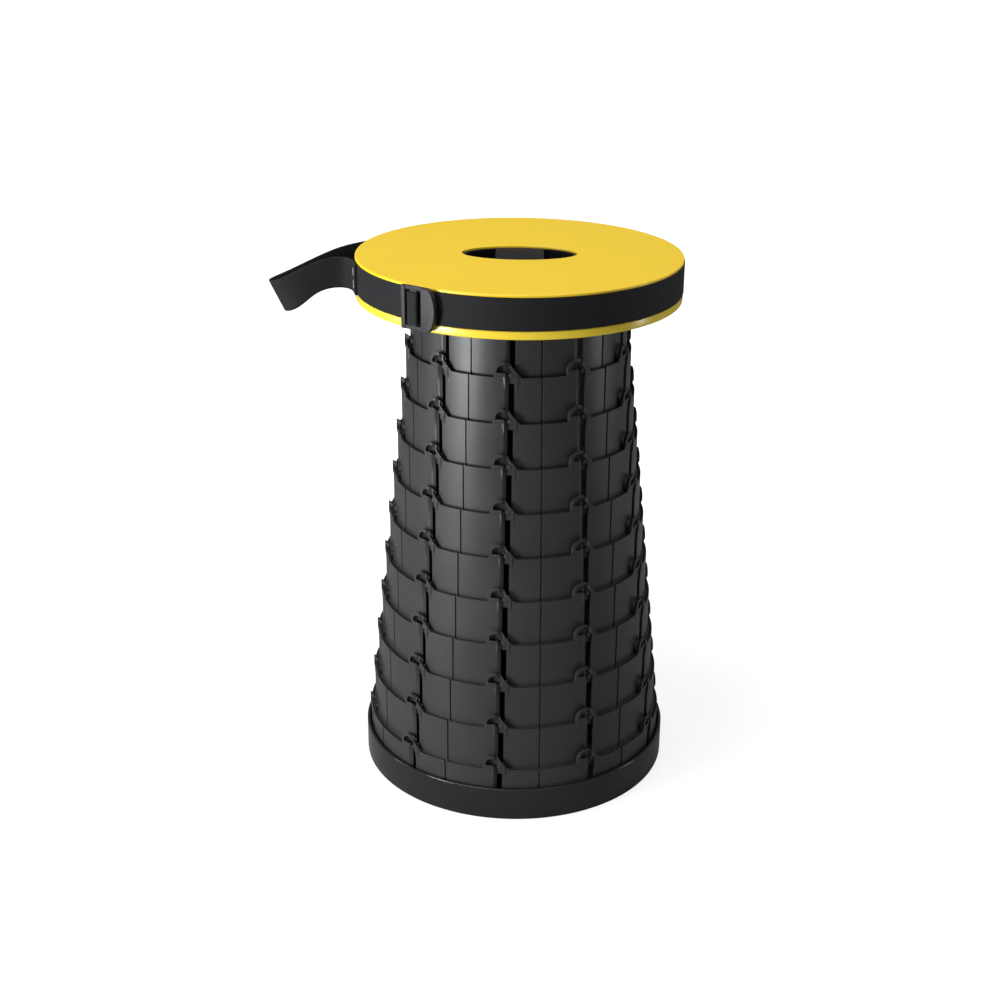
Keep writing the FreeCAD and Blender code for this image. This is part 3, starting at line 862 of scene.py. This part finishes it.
def add_fold(shape, width):
    """The strap's end folded round the buckle's cross bar: a closed, rounded loop of webbing, on edge.

    Its UV is the distance round the fold and the height on the webbing.
    """
    outlines = []
    for inset in (0.0, FOLD_THICKNESS):
        corners = rectangle(FOLD_LEFT + inset, FOLD_RIGHT - inset, FOLD_BACK + inset, FOLD_FRONT - inset)
        outline = rounded_outline(corners, FOLD_ROUND - inset, 8)
        outlines.append(np.concatenate([outline, outline[:1]]))
    outer, inner = outlines
    near_outer, near_inner = (outer + (inner - outer) * share for share in (0.25, 0.75))
    half = width / 2
    side = half - 0.3 * MM
    rows = [(near_outer, -half), (near_inner, -half), (inner, -side), (inner, side)]
    rows += [(near_inner, half), (near_outer, half)]
    rows += [(outer, up) for up in np.linspace(side, -side, 9)]
    along = distance_along(outer)
    grid = np.stack([
        beside(LOCK_AZIMUTH, outline[:, 0], outline[:, 1], LOCK_MIDDLE + up) for outline, up in rows
    ])
    uv = np.stack([np.stack(np.broadcast_arrays(along, up), axis=-1) for _, up in rows])
    shape.add_grid(grid, close_rows=True, uv=uv)


class STOOL_OT_strap(bpy.types.Operator):
    """Build the webbing round the seat, the carry loop, its stitching and the end round the buckle"""
    bl_idname = "stool.strap"
    bl_label = "Strap"

    def execute(self, context):
        sizes = context.scene.stool_strap
        section = webbing_section(sizes.width, sizes.thickness)
        webbing = webbing_material()
        band = Shape()
        middle = STRAP_RADIUS - sizes.thickness / 2
        around = np.linspace(0.0, TURN, 361)
        grid = revolve(section + np.array([middle, STRAP_LOW]), around)
        uv = np.stack(np.broadcast_arrays(around * middle, section[:, 1:]), axis=-1)
        band.add_grid(grid, close_rows=True, flip=True, uv=uv)
        add_piece(band, "strap_webbing", "strap", webbing, ["strap_band"])

        route = np.array(LOOP_ROUTE)
        azimuth = np.radians(route[:, 0])
        reach = STRAP_RADIUS + WEBBING_FIT + sizes.thickness / 2 + route[:, 1] * MM
        points = np.stack([reach * np.sin(azimuth), -reach * np.cos(azimuth), route[:, 2] * MM], axis=-1)
        path = smooth_path(points, 160)
        loop = Shape()
        out = np.linalg.norm(path[:, :2], axis=1) - STRAP_RADIUS
        end = smooth_step((out - LOOP_END_START) / LOOP_END_RUN)
        path[:, 0] -= LOOP_STRETCH * end
        grid = ribbon(path[:, :2], section, STRAP_LOW - path[:, 2] - LOOP_DROP * end, LOOP_LEAN * end)
        loop.add_grid(grid, close_rows=True, uv=ribbon_uv(path[:, :2], section))
        loop.add_cap(grid[:, 0], flip=True)
        loop.add_cap(grid[:, -1])
        add_piece(loop, "carry_loop_webbing", "strap", webbing, ["carry_loop"])

        stitches = Shape()
        outside = STRAP_RADIUS + WEBBING_FIT + sizes.thickness
        for azimuth in TACK_AZIMUTHS:
            for low in TACK_LOWS:
                add_bar_tack(stitches, azimuth, outside, low, low + TACK_LENGTH)
        thread_plastic = plastic("Thread", (0.35, 0.35, 0.34, 1.0), 0.7, grain=0.0)
        add_piece(stitches, "loop_bar_tacks", "strap", thread_plastic)

        fold = Shape()
        add_fold(fold, sizes.width)
        add_piece(fold, "buckle_fold", "buckle", webbing, ["buckle_wrap"])
        return {"FINISHED"}


def tab_outline():
    """The thumb tab seen from the front: square to the strap at its left, half an ellipse at its right."""
    left, straight, tip = 5.0 * MM, 9.6 * MM, 18.1 * MM
    turn = np.linspace(-math.pi / 2, math.pi / 2, 25)
    bow = np.stack([
        straight + (tip - straight) * np.cos(turn), LOCK_HALF_HEIGHT * np.sin(turn)
    ], axis=-1)
    return np.concatenate([[(left, -LOCK_HALF_HEIGHT)], bow, [(left, LOCK_HALF_HEIGHT)]])


class STOOL_OT_buckle(bpy.types.Operator):
    """Build the ladder lock buckle: end bar, rails, cross bar and thumb tab"""
    bl_idname = "stool.buckle"
    bl_label = "Buckle"

    def execute(self, context):
        def place(across, up, out):
            return beside(LOCK_AZIMUTH, across, out, LOCK_MIDDLE + up)
        lock = Shape()
        half, rail = LOCK_HALF_HEIGHT, LOCK_HALF_HEIGHT - LOCK_RAIL
        bars = [
            (-14.2 * MM, -10.2 * MM, -half, half, 2.8 * MM),
            (-13.5 * MM, 8.0 * MM, rail, half, 2.2 * MM),
            (-13.5 * MM, 8.0 * MM, -half, -rail, 2.2 * MM),
            (-6.2 * MM, 0.6 * MM, -rail - 0.5 * MM, rail + 0.5 * MM, 2.2 * MM),
        ]
        for left, right, low, high, thick in bars:
            outline = rounded_outline(rectangle(left, right, low, high), 0.7 * MM, 4)
            add_prism(lock, outline, LOCK_BACK, LOCK_BACK + thick, 0.8 * MM, place)
        add_prism(lock, tab_outline(), LOCK_BACK, LOCK_BACK + 3.9 * MM, 1.0 * MM, place)
        buckle = plastic("Buckle plastic", context.scene.stool_strap.buckle, 0.5, specular=0.25)
        add_piece(lock, "ladder_lock", "buckle", buckle, ["strap_buckle"])
        return {"FINISHED"}


# The seat

SEAT_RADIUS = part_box("seat_lip")[1][0]
SEAT_UNDERSIDE = SEAT_TOP - 3.5 * MM
FLANGE_LOW = SEAT_TOP - 2.1 * MM
LIP_HIGH = LIP_LOW + 6.6 * MM
SKIRT_BORE = 129.5 * MM
SKIRT_WALL = 1.5 * MM
REBATE = 0.7 * MM
REBATE_HEIGHT = 3.0 * MM
TONGUE_GAP = 0.1 * MM
SCREW_CIRCLE = 72.0 * MM
BOSS_RADIUS, BOSS_LENGTH = 4.5 * MM, 6.0 * MM
RIB_START, RIB_END = 51.8 * MM, 82.6 * MM
RIB_HALF, RIB_LENGTH = 0.8 * MM, 5.0 * MM
SCREW_COUNT = 5


def seat_rows(hole_edge, rim_edge):
    """The seat's section as rows of (share of the rim, growth of the hole's ellipse, radius, height)."""
    turn = np.linspace(0.0, math.pi / 2, 5)
    grow = hole_edge * (1.0 - np.cos(turn))
    rise = SEAT_TOP - hole_edge * (1.0 - np.sin(turn))
    hole = np.concatenate([[(0.0, SEAT_UNDERSIDE)], np.stack([grow, rise], axis=-1)])
    skirt = SKIRT_BORE + SKIRT_WALL
    corners = [
        (SEAT_RADIUS - 3.0 * MM, SEAT_TOP), (SEAT_RADIUS, SEAT_TOP), (SEAT_RADIUS, FLANGE_LOW),
        (skirt, FLANGE_LOW), (skirt, LIP_HIGH), (SKIRT_BORE + REBATE, LIP_HIGH),
        (SKIRT_BORE + REBATE, LIP_HIGH + REBATE_HEIGHT), (SKIRT_BORE, LIP_HIGH + REBATE_HEIGHT),
        (SKIRT_BORE, SEAT_UNDERSIDE), (SKIRT_BORE - 3.0 * MM, SEAT_UNDERSIDE),
    ]
    rounding = np.array([0.0, rim_edge, 0.4 * MM, 0.2 * MM, 0.0, 0.0, 0.0, 0.0, 0.3 * MM, 0.0])
    rim = rounded_outline(corners, rounding, 6)
    shares = np.array([0.02, 0.1, 0.3, 0.6, 0.9])
    rows = [(0.0, g, 0.0, z) for g, z in hole]
    rows += [(share, hole_edge, rim[0, 0], SEAT_TOP) for share in shares]
    rows += [(1.0, 0.0, radius, z) for radius, z in rim]
    rows += [(share, 0.0, rim[-1, 0], SEAT_UNDERSIDE) for share in shares[::-1]]
    return np.array(rows)


def hole_to_rim(rows, length, width):
    """Rings of points from the hole's ellipse to a circle: (1 - share) * ellipse + share * circle."""
    angle = circle(240)[None]
    share, grow, radius, height = (rows[:, k][:, None] for k in range(4))
    x = ((1.0 - share) * (length / 2 + grow) + share * radius) * np.cos(angle)
    y = ((1.0 - share) * (width / 2 + grow) + share * radius) * np.sin(angle)
    return np.stack(np.broadcast_arrays(x, y, height), axis=-1)


class STOOL_OT_seat(bpy.types.Operator):
    """Build the seat shell with its hand hole, rim, ribs and bosses, and the lip below the strap"""
    bl_idname = "stool.seat"
    bl_label = "Seat"

    def execute(self, context):
        sizes = context.scene.stool_seat
        shell = Shape()
        rows = seat_rows(0.6 * MM, sizes.edge)
        shell.add_grid(
            hole_to_rim(rows, sizes.hole_length, sizes.hole_width), close_rows=True, close_columns=True,
            flip=True,
        )
        boss = disc(BOSS_RADIUS, SCREW_CIRCLE, 24)
        rib = rounded_outline(rectangle(-RIB_HALF, RIB_HALF, RIB_START, RIB_END), 0.3 * MM, 3)
        joints = [(boss, TURN / SCREW_COUNT * index, BOSS_LENGTH) for index in range(SCREW_COUNT)]
        joints += [(rib, TURN / SEGMENTS * (index + 0.5), RIB_LENGTH) for index in range(SEGMENTS)]
        for outline, azimuth, length in joints:
            def place(across, out, depth):
                return beside(azimuth, across, out, SEAT_UNDERSIDE - depth)
            add_prism(shell, outline, -0.1 * MM, length, 0.3 * MM, place)
        yellow = plastic("Seat yellow", sizes.yellow, 0.42, grain=0.25, dust=0.0, specular=0.35, coat=0.15)
        add_piece(shell, "seat_top_shell", "seat", yellow, ["seat_shell"])

        tongue = SKIRT_BORE + REBATE - TONGUE_GAP
        tongue_top = LIP_HIGH + REBATE_HEIGHT - TONGUE_GAP
        corners = [
            (SKIRT_BORE, LIP_LOW), (SEAT_RADIUS, LIP_LOW), (SEAT_RADIUS, LIP_HIGH), (tongue, LIP_HIGH),
            (tongue, tongue_top), (SKIRT_BORE, tongue_top),
        ]
        rounding = np.array([0.3, 1.4, 0.8, 0.1, 0.1, 0.1]) * MM
        lip = Shape()
        add_turned(lip, corners, rounding, 6, 240)
        # Painted highlight: the glossy lip gets a lighter yellow than the seat
        highlit_lip = plastic("Lip yellow", sizes.lip_highlit_yellow, 0.25, dust=0.0)
        add_piece(lip, "seat_lip_ring", "seat", highlit_lip, ["seat_lip"])
        return {"FINISHED"}


# The base

PAN_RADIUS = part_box("base_pan")[1][0]
PAN_HIGH = node_high("base_pan")
PAN_BORE = 130.0 * MM
PAN_FLOOR = 3.0 * MM
HUB_OUTER, HUB_TOP_RADIUS, HUB_HIGH = 74.0 * MM, 66.0 * MM, 10.0 * MM
HUB_WALL = 2.4 * MM
HUB_RIB_HALF = 1.2 * MM
DISC_RADIUS = 18.0 * MM
FOOT_RING = 123.0 * MM
FOOT_GAP = 0.5 * MM


class STOOL_OT_base(bpy.types.Operator):
    """Build the base: the pan with its rim, raised hub and ribbed underside"""
    bl_idname = "stool.base"
    bl_label = "Base"

    def execute(self, context):
        sizes = context.scene.stool_base
        hub_inner = HUB_OUTER - HUB_WALL
        slope = (HUB_OUTER - HUB_TOP_RADIUS) / (HUB_HIGH - PAN_FLOOR)
        roof = HUB_HIGH - HUB_WALL
        corners = [
            (0.0, 0.0), (DISC_RADIUS, 0.0), (DISC_RADIUS, roof), (hub_inner - slope * roof, roof),
            (hub_inner, FOOT_GAP), (FOOT_RING, FOOT_GAP), (FOOT_RING, 0.0), (PAN_RADIUS, 0.0),
            (PAN_RADIUS, PAN_HIGH), (PAN_BORE, PAN_HIGH), (PAN_BORE, PAN_FLOOR), (HUB_OUTER, PAN_FLOOR),
            (HUB_TOP_RADIUS, HUB_HIGH), (0.0, HUB_HIGH),
        ]
        small = 0.2 * MM
        rounding = np.array([
            0.0, small, small, small, small, small, small, sizes.edge, sizes.edge, 0.4 * MM, small, small,
            small, 0.0,
        ])
        pan = Shape()
        add_turned(pan, corners, rounding, 6, 300)
        rib = rounded_outline(
            rectangle(-HUB_RIB_HALF, HUB_RIB_HALF, DISC_RADIUS - MM, hub_inner - 0.5 * MM), small, 3
        )
        for index in range(SEGMENTS):
            turned = TURN / SEGMENTS * (index + 0.5)
            def place(across, out, depth):
                share = np.clip((hub_inner - out) / (slope * roof), 0.1, 1.0)
                return beside(turned, across, out, depth * share)
            add_prism(pan, rib, 0.0, roof + 0.1 * MM, 0.05 * MM, place)
        black = plastic("Base plastic", sizes.black, 0.16, grain=0.03, change=0.03)
        add_piece(pan, "base_pan_body", "base", black, ["base_pan"])
        return {"FINISHED"}


class STOOL_OT_fittings(bpy.types.Operator):
    """Give the handle, collar, screws and feet their materials"""
    bl_idname = "stool.fittings"
    bl_label = "Handle, collar and feet"

    def execute(self, context):
        seat = context.scene.stool_seat
        base = context.scene.stool_base
        dress_node("seat_handle", plastic("Handle plastic", seat.handle, 0.45, dust=0.0, specular=0.12))
        dress_node("seat_collar", ring_plastic())
        rubber = plastic("Foot rubber", base.rubber, 0.75)
        for index in range(1, 7):
            dress_node("foot_pad_{}".format(index), rubber)
        dress_node("collar_screws", plastic("Screw steel", (0.5, 0.5, 0.5, 1.0), 0.35))
        return {"FINISHED"}


# The stage

CAMERA_PLACE = (0.0, -1.25122, 0.74796)
CAMERA_PITCH = 0.3910
CAMERA_ROLL = 0.01187
FOCAL_PIXELS = 1576.94
FRAME_PIXELS = 1005
OPTICAL_CENTRE = 516.73
LAMP_TARGET = (0.0, 0.0, 0.22)
WORLD_LIGHT = 0.16
FLOOR_TONE = 0.28
FLOOR_DROP = 0.0002


def softbox(name, azimuth, elevation, distance, width, height, power):
    """A rectangular area lamp at an azimuth and elevation in degrees, aimed at the stool's middle."""
    azimuth, elevation = math.radians(azimuth), math.radians(elevation)
    level = distance * math.cos(elevation)
    offset = Vector((level * math.sin(azimuth), -level * math.cos(azimuth), distance * math.sin(elevation)))
    light = bpy.data.lights.new(name, "AREA")
    light.shape = "RECTANGLE"
    light.size = width
    light.size_y = height
    light.energy = power
    lamp = bpy.data.objects.new(name, light)
    lamp.location = Vector(LAMP_TARGET) + offset
    lamp.rotation_euler = (-offset).to_track_quat("-Z", "Y").to_euler()
    bpy.context.scene.collection.objects.link(lamp)


def backdrop_world(colour):
    """A world that is white to the camera and dim to reflections and as a light."""
    world = bpy.data.worlds.new("Studio")
    bpy.context.scene.world = world
    world.use_nodes = True
    tree = world.node_tree
    path = tree.nodes.new("ShaderNodeLightPath").outputs
    seen = math_node(tree, "MAXIMUM", path["Is Camera Ray"], path["Is Transmission Ray"])
    strength = math_node(tree, "MAXIMUM", seen, WORLD_LIGHT)
    feed(tree, tree.nodes["Background"], {"Color": tuple(colour), "Strength": strength})


def floor_material(colour):
    """A pale floor that stays white to the camera but darkens in the stool's shadow."""
    material = bpy.data.materials.new("Studio floor")
    material.use_nodes = True
    tree = material.node_tree
    path = tree.nodes.new("ShaderNodeLightPath").outputs
    distance = tree.nodes.new("ShaderNodeVectorMath")
    distance.operation = "LENGTH"
    feed(tree, distance, {0: tree.nodes.new("ShaderNodeTexCoord").outputs["Object"]})
    away = add_node(tree, "ShaderNodeMapRange", {
        "Value": distance.outputs["Value"],
        "From Min": 0.2, "From Max": 0.9,
        "To Min": 0.8, "To Max": 1.15,
    })
    seen = math_node(tree, "MULTIPLY", path["Is Camera Ray"], away.outputs["Result"])
    feed(tree, tree.nodes["Principled BSDF"], {
        "Base Color": tuple(FLOOR_TONE * channel for channel in colour[:3]) + (1.0,),
        "Roughness": 0.9,
        "Specular IOR Level": 0.0,
        "Emission Color": (1.0, 1.0, 1.0, 1.0),
        "Emission Strength": seen,
    })
    return material


class STOOL_OT_stage(bpy.types.Operator):
    """Build the floor, the lamps, the white surroundings and the camera"""
    bl_idname = "stool.stage"
    bl_label = "Studio"

    def execute(self, context):
        stage = context.scene.stool_stage
        scene = context.scene
        floor = Shape()
        side = np.linspace(-6.0, 6.0, 3)
        x, y = np.meshgrid(side, side)
        floor.add_grid(np.stack([x, y, np.full_like(x, -FLOOR_DROP)], axis=-1))
        ground = bpy.data.objects.new("studio_floor", floor.mesh("studio_floor"))
        scene.collection.objects.link(ground)
        ground.data.materials.append(floor_material(stage.backdrop))
        backdrop_world(stage.backdrop)
        softbox("Key softbox", -50, 66, 1.7, 0.7, 0.9, stage.key_power)
        softbox("Left softbox", -52, -2, 1.4, 0.4, 0.8, stage.left_power)
        for azimuth in (-89, 89):
            softbox("Edge softbox", azimuth, 6, 1.4, 0.12, 1.1, stage.edge_power)
        softbox("Top softbox", 180, 80, 1.6, 1.2, 1.2, stage.top_power)
        lens = bpy.data.cameras.new("Photo camera")
        lens.sensor_width = 36.0
        lens.lens = FOCAL_PIXELS / FRAME_PIXELS * lens.sensor_width
        lens.shift_x = (FRAME_PIXELS / 2 - OPTICAL_CENTRE) / FRAME_PIXELS
        camera = bpy.data.objects.new("Photo camera", lens)
        tilt = Matrix.Rotation(math.pi / 2 - CAMERA_PITCH, 4, "X")
        camera.matrix_world = Matrix.Translation(CAMERA_PLACE) @ tilt @ Matrix.Rotation(CAMERA_ROLL, 4, "Z")
        scene.collection.objects.link(camera)
        scene.camera = camera
        scene.view_settings.view_transform = "Standard"
        return {"FINISHED"}


class STOOL_PT_panel(bpy.types.Panel):
    """The stool's pieces, in the sidebar of the 3D view"""
    bl_idname = "STOOL_PT_panel"
    bl_label = "Telescopic Stool"
    bl_space_type = "VIEW_3D"
    bl_region_type = "UI"
    bl_category = "Stool"

    def draw(self, context):
        for operator in OPERATORS:
            self.layout.operator(operator.bl_idname)
        for attribute, group in SETTINGS.items():
            settings = getattr(context.scene, attribute)
            box = self.layout.box()
            box.label(text=group.__doc__)
            for name in group.__annotations__:
                box.prop(settings, name)


OPERATORS = [
    STOOL_OT_stage, STOOL_OT_seat, STOOL_OT_base, STOOL_OT_strap, STOOL_OT_buckle, STOOL_OT_rings,
    STOOL_OT_fittings,
]
SETTINGS = {
    "stool_rings": RingSizes,
    "stool_seat": SeatSizes,
    "stool_strap": StrapSizes,
    "stool_base": BaseSizes,
    "stool_stage": StageSettings,
}


def register():
    for group in SETTINGS.values():
        bpy.utils.register_class(group)
    for operator in OPERATORS:
        bpy.utils.register_class(operator)
    bpy.utils.register_class(STOOL_PT_panel)
    for attribute, group in SETTINGS.items():
        setattr(bpy.types.Scene, attribute, bpy.props.PointerProperty(type=group))


def unregister():
    for attribute in SETTINGS:
        delattr(bpy.types.Scene, attribute)
    bpy.utils.unregister_class(STOOL_PT_panel)
    for operator in reversed(OPERATORS):
        bpy.utils.unregister_class(operator)
    for group in reversed(list(SETTINGS.values())):
        bpy.utils.unregister_class(group)


def main():
    """Registers the classes and builds every piece."""
    register()
    bpy.ops.stool.stage()
    bpy.ops.stool.seat()
    bpy.ops.stool.base()
    bpy.ops.stool.strap()
    bpy.ops.stool.buckle()
    bpy.ops.stool.rings()
    bpy.ops.stool.fittings()
    bpy.context.view_layer.update()


if __name__ == "__main__":
    main()
